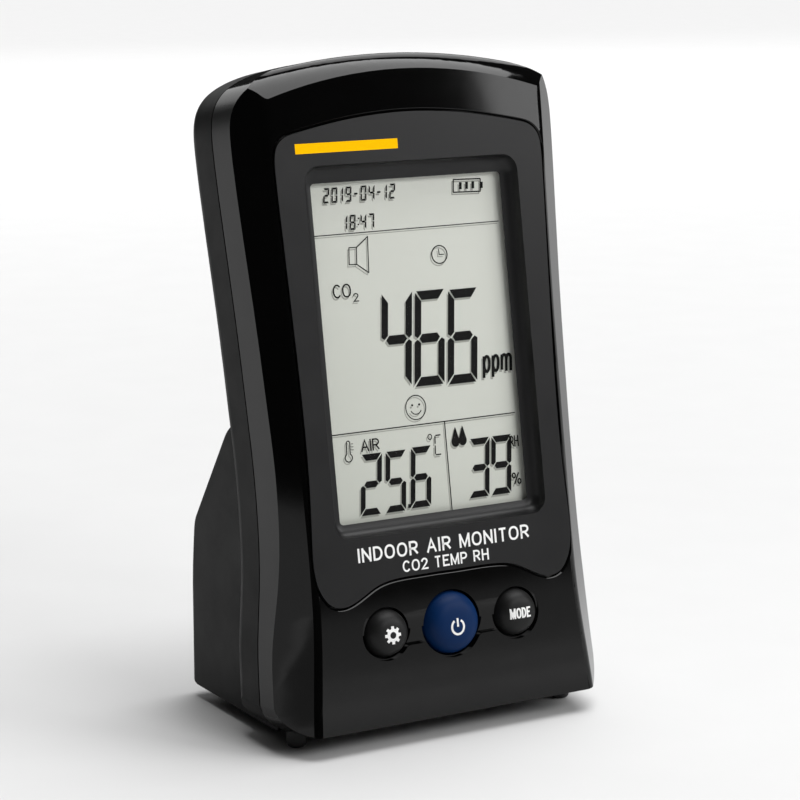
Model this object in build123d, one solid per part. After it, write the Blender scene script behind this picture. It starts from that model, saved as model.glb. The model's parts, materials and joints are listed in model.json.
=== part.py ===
from build123d import *
import os
from math import sin, cos, radians, hypot, sqrt, pi

os.makedirs("parts", exist_ok=True)

# Desktop carbon dioxide monitor: two-part waisted housing that leans back,
# large liquid crystal display behind a matte front panel, three sprung keys,
# infrared gas sensor, rechargeable cell and charging socket.
# Units are millimetres. +Z is up, the front faces -Y.

# ---------------------------------------------------------------- driving dimensions
TILT = 9.84            # lean of the front face from the vertical, degrees
FRONT_Y = -31.08       # y of the front bottom edge
FACE_Z = 6.1           # height of the front bottom edge above the table
WALL = 2.2             # housing wall
FRONT_WALL = 3.0       # front wall behind the panel
PART_W = 15.5          # parting plane, depth behind the front face
SLAB_W = 28.5          # back of the upper housing, depth behind the front face
BACK_R = 4.6           # rounding of the back edge
# at each height: half width of the flat front face, which flares at both
# ends, and depth per mm of the side facets, which are steeper near the base
CREASE = [(-30, 38.9, 1.2), (-10, 38.3, 1.2), (0, 37.8, 1.2), (8, 37.1, 1.18), (18, 36.1, 1.1), (30, 35.4, 1.0),
          (50, 35.3, 0.93), (90, 35.5, 0.917), (117, 36.1, 0.917), (150, 36.9, 0.917), (200, 37.6, 0.917)]
BOTTOM = -0.6          # underside at the front, relative to the front bottom edge
LEVEL = -2.9           # level part of the underside, behind the part square to the face
CORNER_R = 8.5         # rounding of the lower side corners

WIN_U, WIN_V0, WIN_V1 = 25.7, 46.8, 125.5      # visible part of the display
FUN_U, FUN_V0, FUN_V1 = 28.8, 43.5, 129.4      # outer edge of the sloped surround
PANEL_T = 1.5          # thickness of the front panel
COLLAR_W = 3.4         # back of the panel's collar

KEY_V = 21.0
KEYS = {"settings": (-17.7, 6.0), "power": (0.0, 7.75), "mode": (17.7, 6.0)}
KEY_GAP = 0.3
KEY_TRAVEL = 0.8
KEY_TOP = -2.8         # key crown stands this far in front of the face
TROUGH_W = 0.95        # depth of the trough at its lip
TROUGH_LOW = 17.3      # lower lip between the keys
TROUGH_TOP = 25.2      # where the trough meets the face
TROUGH_HALF = 13.0     # half width of the part between the keys
TROUGH_R = 32.0        # radius of the trough's long curve

BOARD_W0, BOARD_W1 = 11.5, 13.1
CASE_SCREWS_AT = [(-31.4, 16.0), (31.4, 16.0), (-33.6, 141.7), (33.6, 141.7)]
BOARD_SCREWS_AT = [(-22.0, 10.4), (22.0, 10.4), (-28.5, 136.0), (28.5, 136.0)]

FOOT_R = 2.4
FRONT_FEET_AT = [(-36.7, 12.8), (36.7, 12.8)]    # x, y behind the front edge
REAR_FEET_AT = [(-30.0, 49.5), (30.0, 49.5)]

T = radians(TILT)
FACE = Plane(origin=(0, FRONT_Y, FACE_Z), x_dir=(1, 0, 0), z_dir=(0, -cos(T), sin(T)))
TO_WORLD = FACE.location
TO_FACE = FACE.location.inverse()


# ---------------------------------------------------------------- helpers
# Face frame: X = u across, Y = v up the face, Z = -w, where w is the depth
# behind the front face.
def fbox(u0, u1, v0, v1, w0, w1):
    return Pos((u0 + u1) / 2, (v0 + v1) / 2, -(w0 + w1) / 2) * Box(u1 - u0, v1 - v0, w1 - w0)


def fcyl(u, v, r, w0, w1):
    return Pos(u, v, -(w0 + w1) / 2) * Cylinder(r, w1 - w0)


def rbox(u0, u1, v0, v1, w0, w1, r):
    s = fbox(u0, u1, v0, v1, w0, w1)
    return fillet(s.edges().filter_by(Axis.Z), r)


def wbox(x0, x1, y0, y1, z0, z1):
    """box in the upright frame, y and z counted from the front bottom edge"""
    return Pos((x0 + x1) / 2, (y0 + y1) / 2 + FRONT_Y, (z0 + z1) / 2 + FACE_Z) * Box(x1 - x0, y1 - y0, z1 - z0)


def solid_of(shape):
    """the one main solid of a boolean result"""
    found = shape.solids()
    return max(found, key=lambda s: s.volume)


def write(shape, name):
    export_step(shape, "parts/" + name + ".step")


def put(shape, name):
    write(TO_WORLD * shape, name)


# right half of the housing outline, from below the base to the top centre
SIDE = [(44.5, -14), (44.4, 0), (44.25, 8), (44.0, 13), (43.6, 19), (42.9, 25), (41.8, 33),
        (40.95, 42), (40.55, 52), (40.5, 62), (40.85, 74), (41.4, 90), (42.05, 104), (42.75, 117),
        (43.35, 130), (43.5, 137.0), (43.2, 141.4), (42.05, 145.0), (39.8, 147.9), (36.1, 150.25),
        (31, 152.1), (23, 153.65), (12, 154.75), (0, 155.1)]


def loop_from(half, closed):
    left = [(-u, v) for u, v in reversed(half[:-1])]
    if closed:
        left = left[:-1]
    return half + left


def inset(points, d, closed):
    n = len(points)
    out = []
    for i, (u, v) in enumerate(points):
        a = points[(i - 1) % n] if closed or i > 0 else points[i]
        b = points[(i + 1) % n] if closed or i < n - 1 else points[i]
        tx, ty = b[0] - a[0], b[1] - a[1]
        k = hypot(tx, ty)
        out.append((u - ty / k * d, v + tx / k * d))
    return out


def outline_face(d):
    pts = inset(loop_from(SIDE, False), d, False)
    edge = Spline(*[(u, v, 0) for u, v in pts])
    base = Line((pts[-1][0], pts[-1][1], 0), (pts[0][0], pts[0][1], 0))
    return make_face([edge, base])


def outline_prism(d, w0, w1):
    return Pos(0, 0, -w1) * extrude(outline_face(d), amount=w1 - w0, dir=(0, 0, 1))


def facet_cutter(d, front, side):
    """what lies outside the facet on one side"""
    sections = []
    for v, crease, slope in CREASE:
        k = d * sqrt(1 + slope * slope)
        u0 = crease + (front - k) / slope
        u_in, u_out = u0 - 12.0 / slope, 56.0
        w_out = slope * (u_out - crease) + k
        pts = [(u_in, front - 12.0), (u_out, w_out), (75.0, w_out), (75.0, front - 12.0)]
        sections.append(make_face(Polyline(*[(side * u, v, -w) for u, w in pts], close=True)))
    return loft(sections)


def facet_prism(d, front):
    """flat front with a facet down each side"""
    body = fbox(-60, 60, -29, 199, front, 60) - facet_cutter(d, front, 1) - facet_cutter(d, front, -1)
    body = solid_of(body)
    crease = [e for e in body.edges() if e.length > 150 and abs(e.center().Z + front) < 0.05 and 30 < abs(e.center().X) < 45]
    return fillet(crease, 2.4)


def top_limit(d, front):
    """rounding of the top edge, as an arch that grows with depth"""
    sections = []
    for w, t in [(0.0, 0.0), (1.45, 0.41), (3.35, 0.73), (5.6, 0.93), (8.0, 1.0)]:
        v_mid = 150.7 + 4.4 * t - d
        v_side = 133.5 + 9.6 * t - d
        top = ThreePointArc((62, v_side, 0), (0, v_mid, 0), (-62, v_side, 0))
        rest = Polyline((-62, v_side, 0), (-62, -40, 0), (62, -40, 0), (62, v_side, 0))
        sections.append(Pos(0, 0, -w - front) * make_face([top, rest]))
    cap = loft(sections)
    tail = extrude(sections[-1], amount=50, dir=(0, 0, -1))
    return cap + tail


def floor_z(y, d=0.0):
    """height of the underside, y and z counted from the front bottom edge"""
    return max(BOTTOM - y * sin(T) / cos(T), LEVEL) + d


def base_world(d):
    """lower corners and underside: square to the face at first, then level"""
    parts = []
    for lean, height in ((TILT, BOTTOM), (0.0, LEVEL)):
        b = Pos(0, 40, 120 + d) * Box(2 * (44.45 - d), 180, 240)
        low = [e for e in b.edges().filter_by(Axis.Y) if e.center().Z < 10]
        b = fillet(low, max(CORNER_R - d, 0.8))
        parts.append(Pos(0, FRONT_Y, FACE_Z + height) * Rot(-lean, 0, 0) * b)
    return parts[0] & parts[1]


def base_limit(d):
    return TO_FACE * base_world(d)


# ---------------------------------------------------------------- front cover
def front_block(d, front, back):
    s = outline_prism(d, 0, back) & facet_prism(d, front)
    s = s & top_limit(d, front)
    return s & base_limit(d)


outer_front = solid_of(front_block(0.0, 0.0, PART_W))
inner_front = solid_of(front_block(WALL, FRONT_WALL, PART_W + 0.01))

# front panel outline, right half, from the bottom centre to the top centre
PANEL = [(0, 33.3), (7, 33.3), (12, 33.25), (16, 32.9), (18.8, 32.2), (21.4, 31.0), (24.9, 29.2),
         (28.3, 28.3), (31.2, 29.0), (33.2, 31.1), (34.6, 34.3), (35.15, 38), (35.1, 43), (34.7, 50),
         (34.35, 59), (34.3, 68), (34.4, 77), (34.75, 90), (35.2, 104), (35.65, 117), (35.95, 127),
         (35.9, 131), (35.2, 134), (33.4, 135.95), (30, 137.1), (25, 138.1), (16, 139.6), (8, 140.4), (0, 140.7)]


def panel_face(d):
    pts = inset(loop_from(PANEL, True), d, True)
    return make_face(Spline(*[(u, v, 0) for u, v in pts], periodic=True))


def panel_prism(d, w0, w1):
    return Pos(0, 0, -w1) * extrude(panel_face(d), amount=w1 - w0, dir=(0, 0, 1))


front = outer_front - inner_front
# recess for the front panel, with a fine groove round it
front = front - panel_prism(-0.35, -1, PANEL_T + 0.05)
front = front - loft([Pos(0, 0, -0.42) * panel_face(-0.34), Pos(0, 0, 0.03) * panel_face(-0.79)])
# opening for the display surround
front = front - rbox(-30.4, 30.4, 41.6, 131.4, 0, FRONT_WALL + 1, 3.0)
# shallow trough round the keys: a scalloped lower lip, falling away from the
# face in a long curve above it
plan = Pos(0, (TROUGH_LOW + TROUGH_TOP) / 2, 0) * Rectangle(2 * TROUGH_HALF, TROUGH_TOP - TROUGH_LOW)
for u, r in KEYS.values():
    plan = plan + Pos(u, KEY_V, 0) * Circle(r + 0.5)
notch = [p for p in plan.vertices() if abs(p.Y - TROUGH_LOW) < 0.01 and abs(p.X) < 14]
plan = fillet(notch, 1.6)
plan = Pos(0, 0, -TROUGH_W) * extrude(plan, amount=TROUGH_W + 2, dir=(0, 0, 1)) & fbox(-60, 60, 0, TROUGH_TOP, -3, 3)
roll = Pos(0, TROUGH_TOP, -TROUGH_R) * Rot(0, 90, 0) * Cylinder(TROUGH_R, 130)
front = front - (plan - roll)
# key holes, each with a fine countersink
for u, r in KEYS.values():
    front = front - fcyl(u, KEY_V, r, -2, FRONT_WALL + 1)
    front = front - Pos(u, KEY_V, -0.75) * Cone(r - 0.05, r + 0.45, 1.0)
# bosses for the case screws and the main board
for u, v in CASE_SCREWS_AT:
    front = front + (fcyl(u, v, 3.0, 2.0, PART_W - 0.1) & outer_front)
for u, v in BOARD_SCREWS_AT:
    front = front + fcyl(u, v, 2.8, 2.0, BOARD_W0)
for u, v in CASE_SCREWS_AT:
    front = front - fcyl(u, v, 1.25, 7.0, PART_W + 1)
for u, v in BOARD_SCREWS_AT:
    front = front - fcyl(u, v, 1.0, 5.0, PART_W)
# guide ribs that locate the display holder
for s in (-1, 1):
    for v in (60.0, 110.0):
        front = front + fbox(min(s * 33.3, s * 38.6), max(s * 33.3, s * 38.6), v - 0.7, v + 0.7, 4.0, 10.5)
# parting groove, and the rebate that takes the rear cover's tongue
ring = outline_prism(-1.0, PART_W - 0.25, PART_W + 0.25) - outline_prism(0.55, PART_W - 1, PART_W + 1)
front = front - ring
front = front - (outline_prism(1.15, PART_W - 1.6, PART_W + 1) & base_limit(1.15))
# sockets for the front feet
for x, y in FRONT_FEET_AT:
    front = front - TO_FACE * (Pos(x, y + FRONT_Y, FACE_Z + floor_z(y) - 0.5) * Cylinder(1.3, 3.6))
front = solid_of(front)
put(front, "front_cover")

# ---------------------------------------------------------------- front panel, window, display
def cove():
    """concave surround that narrows from the panel's face to the window"""
    steps = [(-0.02, -0.35), (0.0, 0.0), (0.05, 0.30), (0.17, 0.58), (0.40, 0.82), (0.70, 0.95), (1.0, 1.0)]
    out = []
    for t, d in steps:
        u = FUN_U + (WIN_U - FUN_U) * t
        v0 = FUN_V0 + (WIN_V0 - FUN_V0) * t
        v1 = FUN_V1 + (WIN_V1 - FUN_V1) * t
        out.append(Pos(0, (v0 + v1) / 2, -0.05 - (COLLAR_W - 0.15) * d) * RectangleRounded(2 * u, v1 - v0, 4.0 - 3.0 * max(t, 0)))
    body = loft(out)
    return body + extrude(out[-1], amount=1.0, dir=(0, 0, -1))


panel = panel_prism(0.0, 0.05, PANEL_T)
panel = panel + rbox(-30.0, 30.0, 42.0, 131.0, PANEL_T - 0.3, COLLAR_W, 2.6)
panel = panel - cove()
put(solid_of(panel), "display_bezel")

tape = rbox(-29.0, 29.0, 43.0, 129.6, 3.45, 3.65, 1.5) - rbox(-26.6, 26.6, 45.9, 126.4, 3, 5, 1.0)
put(tape, "window_tape")
put(rbox(-29.0, 29.0, 43.0, 129.6, 3.65, 4.85, 1.5), "display_window")

# two glass plates; the front one carries the contact ledge below
lcd = fbox(-30, 30, 40.5, 130.5, 5.0, 6.1) + fbox(-30, 30, 43.6, 130.5, 6.1, 7.2)
put(lcd, "lcd_panel")
light = fbox(-29.6, 29.6, 44.0, 130.2, 7.3, 10.2)
light = chamfer(light.edges().filter_by(Axis.Z), 0.8)
put(light, "backlight")
put(fbox(-27.0, 27.0, 40.9, 43.1, 6.15, BOARD_W0 - 0.02), "lcd_connector")

holder = rbox(-33, 33, 38.6, 132.6, 4.95, 11.3, 1.5) - fbox(-30.2, 30.2, 40.3, 130.8, 4, 10.4)
holder = holder - fbox(-25, 25, 50, 124, 10, 12) - fbox(-27.2, 27.2, 40.3, 43.3, 10, 12)
put(holder, "lcd_holder")

# ---------------------------------------------------------------- keys
def ring_solid(profile):
    """revolve of (radius, w) points round the face normal"""
    face = make_face(Polyline(*[(r, 0, -w) for r, w in profile], close=True))
    return revolve(face, Axis.Z, 360)


STEM_W = 7.0
# dome of a key, as share of its radius and depth below the crown
CROWN = [(0, 0.0), (0.3, 0.07), (0.52, 0.29), (0.68, 0.70), (0.79, 1.25), (0.88, 2.05), (0.95, 3.1), (1.0, 4.3)]
for name, (u, hole) in KEYS.items():
    r = hole - KEY_GAP
    dome = Spline(*[(r * q, 0, -(KEY_TOP + h)) for q, h in CROWN], tangents=[(1, 0, 0), (0.16, 0, -1)])
    skirt = Polyline(*[(a, 0, -w) for a, w in [(r, KEY_TOP + CROWN[-1][1]), (r, 3.25), (r + 1.0, 3.25), (r + 1.0, 4.1),
                     (r - 1.5, 4.1), (r - 1.5, 0.6), (1.9, 0.6), (1.9, STEM_W), (0, STEM_W), (0, KEY_TOP)]])
    key = revolve(make_face([dome, skirt]), Axis.Z, 360)
    put(Pos(u, KEY_V, 0) * key, name + "_button")
    # switch plunger, pushed by the key's stem
    plunger = fcyl(u, KEY_V, 1.75, STEM_W, 9.6)
    put(plunger, name + "_plunger")

switches = []
for name, (u, hole) in KEYS.items():
    s = rbox(u - 3.1, u + 3.1, KEY_V - 3.1, KEY_V + 3.1, 8.1, BOARD_W0 - 0.02, 0.5)
    s = s - fcyl(u, KEY_V, 1.83, 7, 11.0)
    switches.append(s)
put(Compound(switches), "tact_switches")

# ---------------------------------------------------------------- main board
board = rbox(-32, 32, 34.0, 138.2, BOARD_W0, BOARD_W1, 1.5) + rbox(-26, 26, 7.0, 40.0, BOARD_W0, BOARD_W1, 1.5)
for u, v in BOARD_SCREWS_AT:
    board = board - fcyl(u, v, 1.15, 10, 15)
put(board, "main_board")

screws = []
for u, v in BOARD_SCREWS_AT:
    s = fcyl(u, v, 0.92, 6.0, BOARD_W1 + 0.5) + fcyl(u, v, 2.0, BOARD_W1 + 0.02, BOARD_W1 + 1.4)
    s = s - fbox(u - 1.2, u + 1.2, v - 0.25, v + 0.25, BOARD_W1 + 0.8, BOARD_W1 + 2)
    s = s - fbox(u - 0.25, u + 0.25, v - 1.2, v + 1.2, BOARD_W1 + 0.8, BOARD_W1 + 2)
    screws.append(s)
put(Compound(screws), "board_screws")

W = BOARD_W1 + 0.02
chips = [fbox(-24, -10, 60, 74, W, W + 1.5), fbox(-4, 2, 62, 67, W, W + 1.2), fbox(8, 13, 78, 84, W, W + 2.4),
         fbox(-20, -8.5, 82, 85, W, W + 3.0), fcyl(-26, 44, 2.6, W, W + 5.5), fcyl(-19, 44, 2.6, W, W + 5.5),
         fbox(20, 28, 40, 45.5, W, W + 5.6)]
put(Compound(chips), "board_components")
put(fcyl(20, 66, 6.0, W, W + 5.4) - fcyl(20, 66, 1.0, W + 4, W + 6), "buzzer")

# ---------------------------------------------------------------- gas sensor
SU0, SU1, SV0, SV1 = -18.0, 16.0, 96.0, 118.0
sensor_board = rbox(SU0, SU1, SV0, SV1, 15.8, 17.0, 0.8)
pins = []
for i in range(5):
    for v in (SV0 + 1.6, SV1 - 1.6):
        u = SU0 + 4 + i * 6.4
        sensor_board = sensor_board - fcyl(u, v, 0.55, 15, 18)
        pins.append(fcyl(u, v, 0.42, W, 17.8) + fcyl(u, v, 1.15, W, 15.75))
put(sensor_board, "co2_sensor_board")
put(Compound(pins), "co2_sensor_pins")
cell = rbox(SU0 + 2, SU1 - 2, SV0 + 3.4, SV1 - 3.4, 17.02, 24.6, 2.5)
cell = fillet(cell.faces().sort_by(Axis.Z)[0].edges(), 1.0)
cell = cell - rbox(-11, 9, 102.0, 112.0, 24.0, 26, 1.5)
cell = cell - fcyl(-8, 107, 1.4, 20, 26) - fcyl(6, 107, 1.4, 20, 26)
put(cell, "co2_sensor_cell")
put(rbox(-10.8, 8.8, 102.2, 111.8, 24.05, 24.5, 1.3), "co2_sensor_filter")
hum = fbox(-27, -22, 124, 129, W, W + 0.8) + fbox(-26, -23, 125, 128, W + 0.7, W + 1.8)
hum = hum - fcyl(-24.5, 126.5, 0.6, W + 1.2, W + 3)
put(hum, "humidity_sensor")

# ---------------------------------------------------------------- rear cover
def rear_slab(d, w0, w1, r):
    s = outline_prism(d, w0, w1)
    rim = [e for e in s.edges() if abs(e.center().Z + w1) < 0.01]
    s = fillet(rim, r) if r > 0 else s
    return solid_of(s & base_limit(d))


def bulge(d, r1, r2, r3):
    """stand at the back of the lower half, as side profile crossed with plan"""
    side = [(16 + d, floor_z(16, d)), (62.4 - d, floor_z(62.4, d)), (62.1 - d, 8.0), (58.4 - d, 38.6 - d * 0.3),
            (39.7 - d, 65.0 - d * 0.9), (24, 71.5 - d * 0.9), (16 + d, 60)]
    a = FilletPolyline(*[(0, y, z) for y, z in side], radius=[0.6, r1, 8.0, r2, 12.0, 3.0, 3.0], close=True)
    pa = Pos(-50, FRONT_Y, FACE_Z) * extrude(make_face(a), amount=100, dir=(1, 0, 0))
    plan_pts = [(-39.95 + d, 10), (39.95 - d, 10), (39.8 - d, 62.4 - d), (-39.8 + d, 62.4 - d)]
    b = FilletPolyline(*[(x, y, 0) for x, y in plan_pts], radius=[0.6, 0.6, r3, r3], close=True)
    pb = Pos(0, FRONT_Y, FACE_Z - 20) * extrude(make_face(b), amount=120, dir=(0, 0, 1))
    return pa & pb


rear_out = TO_WORLD * rear_slab(0.0, PART_W, SLAB_W, BACK_R)
behind = TO_WORLD * fbox(-60, 60, -60, 200, PART_W + 0.01, 90)
rear_out = solid_of(rear_out + solid_of(bulge(0.0, 4.6, 8.0, 3.2) & behind))
rear_in = TO_WORLD * rear_slab(WALL, PART_W - 1, SLAB_W - WALL, 2.6)
rear_in = rear_in + solid_of(bulge(WALL, 2.4, 5.8, 1.2) & (TO_WORLD * fbox(-60, 60, -60, 200, PART_W - 0.5, 90)))
rear = rear_out - rear_in
# tongue that locates the front cover
tongue = outline_prism(1.25, PART_W - 1.4, PART_W + 0.6) & base_limit(1.25)
tongue = tongue - (outline_prism(WALL, PART_W - 3, PART_W + 3) & base_limit(WALL))
rear = rear + TO_WORLD * tongue
rear = rear - TO_WORLD * ring
# bosses that meet the front cover's, with screw wells from behind
HEAD_W = 19.5
for u, v in CASE_SCREWS_AT:
    low = v < 60
    post = TO_WORLD * fcyl(u, v, 4.4 if low else 4.0, PART_W + 0.1, 60 if low else SLAB_W)
    rear = rear + (post & rear_out)
    rear = rear - TO_WORLD * fcyl(u, v, 1.7, PART_W - 2, HEAD_W + 1)
    rear = rear - TO_WORLD * fcyl(u, v, 3.3 if low else 3.2, HEAD_W, 80)
# vent slots for the gas sensor, and a smaller set for the sounder
for i in range(7):
    v = 95.0 + 4.2 * i
    rear = rear - TO_WORLD * rbox(-20, 20, v, v + 1.9, SLAB_W - 4, SLAB_W + 3, 0.9)
# opening for the charging socket
SOCK_Z = 9.0
rear = rear - wbox(-4.7, 4.7, 55, 68, SOCK_Z - 1.1, SOCK_Z + 2.5)
# posts under the power board
POWER_POSTS = [(-11.5, 42.3), (11.5, 42.3)]
for x, y in POWER_POSTS:
    rear = rear + Pos(x, y + FRONT_Y, FACE_Z + (7.0 - 1.2) / 2) * Cylinder(2.4, 7.0 + 1.2)
    rear = rear - Pos(x, y + FRONT_Y, FACE_Z + 5.0) * Cylinder(0.85, 6.0)
rear = rear + wbox(-11, -8, 53.3, 55.3, -1.6, 7.0) + wbox(8, 11, 53.3, 55.3, -1.6, 7.0)
# shelf ribs that carry the battery cradle
CELL_Y, CELL_Z = 41.0, 31.5
for x in (-24.0, 24.0):
    rear = rear + wbox(x - 1.0, x + 1.0, 27.0, CELL_Y + 13.5, CELL_Z - 13.6, CELL_Z - 11.6) \
        + wbox(x - 1.0, x + 1.0, CELL_Y + 9.0, 60.0, CELL_Z - 20.0, CELL_Z - 11.6)
# sockets for the rear feet
for x, y in REAR_FEET_AT:
    rear = rear - Pos(x, y + FRONT_Y, FACE_Z + floor_z(y) - 0.5) * Cylinder(1.3, 3.6)
rear = solid_of(rear)
write(rear, "rear_cover")

# ---------------------------------------------------------------- case screws
heads = []
for u, v in CASE_SCREWS_AT:
    s = fcyl(u, v, 1.2, 8.0, HEAD_W) + fcyl(u, v, 2.7, HEAD_W - 0.0 + 0.02, HEAD_W + 1.8) + fcyl(u, v, 1.2, HEAD_W - 1, HEAD_W + 1)
    s = s - fbox(u - 1.6, u + 1.6, v - 0.3, v + 0.3, HEAD_W + 0.9, HEAD_W + 3)
    s = s - fbox(u - 0.3, u + 0.3, v - 1.6, v + 1.6, HEAD_W + 0.9, HEAD_W + 3)
    heads.append(s)
put(Compound(heads), "case_screws")

# ---------------------------------------------------------------- battery
CR = 9.2
axis_x = Rot(0, 90, 0)
cellb = Pos(0, CELL_Y + FRONT_Y, CELL_Z + FACE_Z) * axis_x * Cylinder(CR, 65.0)
cellb = fillet(cellb.edges().filter_by(GeomType.CIRCLE), 0.8)
write(cellb, "battery_cell")
cradle = wbox(-30, 30, CELL_Y - 11, CELL_Y + 11, CELL_Z - 11.5, CELL_Z + 2) - \
    Pos(0, CELL_Y + FRONT_Y, CELL_Z + FACE_Z) * axis_x * Cylinder(CR + 0.15, 80) - \
    wbox(-40, 40, CELL_Y - CR - 0.15, CELL_Y + CR + 0.15, CELL_Z, CELL_Z + 9) - \
    wbox(-14, 14, CELL_Y - 20, CELL_Y + 20, CELL_Z - 6, CELL_Z + 9)
write(solid_of(cradle), "battery_cradle")

# ---------------------------------------------------------------- power board and socket
pb = wbox(-14, 14, 38.8, 56.3, 7.05, 8.25)
pb = fillet(pb.edges().filter_by(Axis.Z), 1.0)
for x, y in POWER_POSTS:
    pb = pb - Pos(x, y + FRONT_Y, FACE_Z + 8) * Cylinder(1.15, 6)
write(pb, "power_board")
ps = []
for x, y in POWER_POSTS:
    s = Pos(x, y + FRONT_Y, FACE_Z + 8.27 + 0.6) * Cylinder(1.9, 1.2) + Pos(x, y + FRONT_Y, FACE_Z + 5.9) * Cylinder(0.78, 5.0)
    s = s - wbox(x - 1.1, x + 1.1, y - 0.25, y + 0.25, 8.9, 10)
    ps.append(s)
write(Compound(ps), "power_board_screws")
sock = wbox(-4.0, 4.0, 53.3, 59.7, 8.27, 11.1)
sock = fillet(sock.edges().filter_by(Axis.Y), 0.7)
sock = sock - wbox(-3.45, 3.45, 54.5, 61, 8.75, 10.65)
sock = sock + wbox(-1.9, 1.9, 53.8, 58.7, 9.5, 9.95)
write(sock, "usb_socket")

# leads from the cell down to the power board
leads = []
for k, (x0, x1) in enumerate([(-32.9, -7.0), (32.9, -3.5)]):
    s = 1 if x0 > 0 else -1
    xe = s * 34.3
    path = FilletPolyline((s * 32.52, CELL_Y, CELL_Z), (xe, CELL_Y, CELL_Z), (xe, CELL_Y, 16.0), (x1, CELL_Y, 16.0),
                          (x1, CELL_Y, 8.3), radius=[0.9, 3.0, 2.2])
    start = Plane(origin=path @ 0, z_dir=path % 0)
    tube = sweep(start * Circle(0.55), path=path)
    leads.append(Pos(0, FRONT_Y, FACE_Z) * tube)
write(Compound(leads), "battery_leads")

# ---------------------------------------------------------------- feet
def feet(places):
    out = []
    for x, y in places:
        h = FACE_Z + floor_z(y) + 2.0
        pad = Pos(x, y + FRONT_Y, h / 2) * Cylinder(FOOT_R, h)
        pad = fillet(pad.edges().group_by(Axis.Z)[0], 1.3)
        pad = min((pad - base_world(-0.02)).solids(), key=lambda q: q.center().Z)
        out.append(pad + Pos(x, y + FRONT_Y, FACE_Z + floor_z(y) - 0.5) * Cylinder(1.25, 3.4))
    return Compound(out)


write(feet(FRONT_FEET_AT), "front_feet")
write(feet(REAR_FEET_AT), "rear_feet")
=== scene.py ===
import bpy
import bmesh
import json
from math import sin, cos, radians, pi, hypot, atan2, sqrt
from mathutils import Vector, Matrix


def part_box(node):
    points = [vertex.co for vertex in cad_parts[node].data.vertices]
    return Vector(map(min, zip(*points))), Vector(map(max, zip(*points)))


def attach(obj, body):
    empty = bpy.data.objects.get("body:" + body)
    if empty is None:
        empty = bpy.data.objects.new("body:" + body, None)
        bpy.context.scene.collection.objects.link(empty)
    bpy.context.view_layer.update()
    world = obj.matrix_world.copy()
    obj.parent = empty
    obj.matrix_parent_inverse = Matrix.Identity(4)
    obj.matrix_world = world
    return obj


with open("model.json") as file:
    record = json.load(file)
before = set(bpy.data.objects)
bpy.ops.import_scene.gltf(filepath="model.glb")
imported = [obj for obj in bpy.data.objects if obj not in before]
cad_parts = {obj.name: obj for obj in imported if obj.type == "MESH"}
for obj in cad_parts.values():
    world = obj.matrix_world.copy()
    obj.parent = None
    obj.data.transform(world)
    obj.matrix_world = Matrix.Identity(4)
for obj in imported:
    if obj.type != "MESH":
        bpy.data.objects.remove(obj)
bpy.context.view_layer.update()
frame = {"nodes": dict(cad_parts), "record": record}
NODES = frame["nodes"]

# ------------------------------------------------------------------ face frame
# u across, v up the face, w depth behind the front face, in millimetres
T = radians(9.84)
MM = 0.001
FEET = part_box("front_feet")
FY, FZ = (FEET[0].y + FEET[1].y) / 2 / MM - 12.8, 6.1     # front bottom edge


def F(u, v, w):
    return Vector((u * MM, (FY + v * sin(T) + w * cos(T)) * MM, (FZ + v * cos(T) - w * sin(T)) * MM))


FACE = Matrix(((1, 0, 0, 0), (0, sin(T), -cos(T), FY * MM), (0, cos(T), sin(T), FZ * MM), (0, 0, 0, 1)))
scene = bpy.context.scene


# ------------------------------------------------------------------ materials
def new_mat(name):
    m = bpy.data.materials.new(name)
    m.use_nodes = True
    nt = m.node_tree
    return m, nt, nt.nodes["Principled BSDF"]


def noise(nt, scale, detail=3.0, rough=0.5, coord=None):
    tc = nt.nodes.new("ShaderNodeTexCoord")
    n = nt.nodes.new("ShaderNodeTexNoise")
    n.inputs["Scale"].default_value = scale
    n.inputs["Detail"].default_value = detail
    n.inputs["Roughness"].default_value = rough
    nt.links.new(tc.outputs["Object"], n.inputs["Vector"])
    return n


def ramp(nt, src, a, b, lo, hi):
    r = nt.nodes.new("ShaderNodeValToRGB")
    r.color_ramp.elements[0].position = a
    r.color_ramp.elements[1].position = b
    r.color_ramp.elements[0].color = (*lo, 1)
    r.color_ramp.elements[1].color = (*hi, 1)
    nt.links.new(src, r.inputs["Fac"])
    return r.outputs["Color"]


def maprange(nt, src, a, b, lo, hi):
    r = nt.nodes.new("ShaderNodeMapRange")
    r.inputs["From Min"].default_value = a
    r.inputs["From Max"].default_value = b
    r.inputs["To Min"].default_value = lo
    r.inputs["To Max"].default_value = hi
    nt.links.new(src, r.inputs["Value"])
    return r.outputs["Result"]


def bump(nt, bsdf, sources, strength=0.3):
    """sources: (height socket, distance in metres)"""
    prev = None
    for src, dist in sources:
        b = nt.nodes.new("ShaderNodeBump")
        b.inputs["Strength"].default_value = strength
        b.inputs["Distance"].default_value = dist
        nt.links.new(src, b.inputs["Height"])
        if prev is not None:
            nt.links.new(prev, b.inputs["Normal"])
        prev = b.outputs["Normal"]
    nt.links.new(prev, bsdf.inputs["Normal"])


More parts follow.
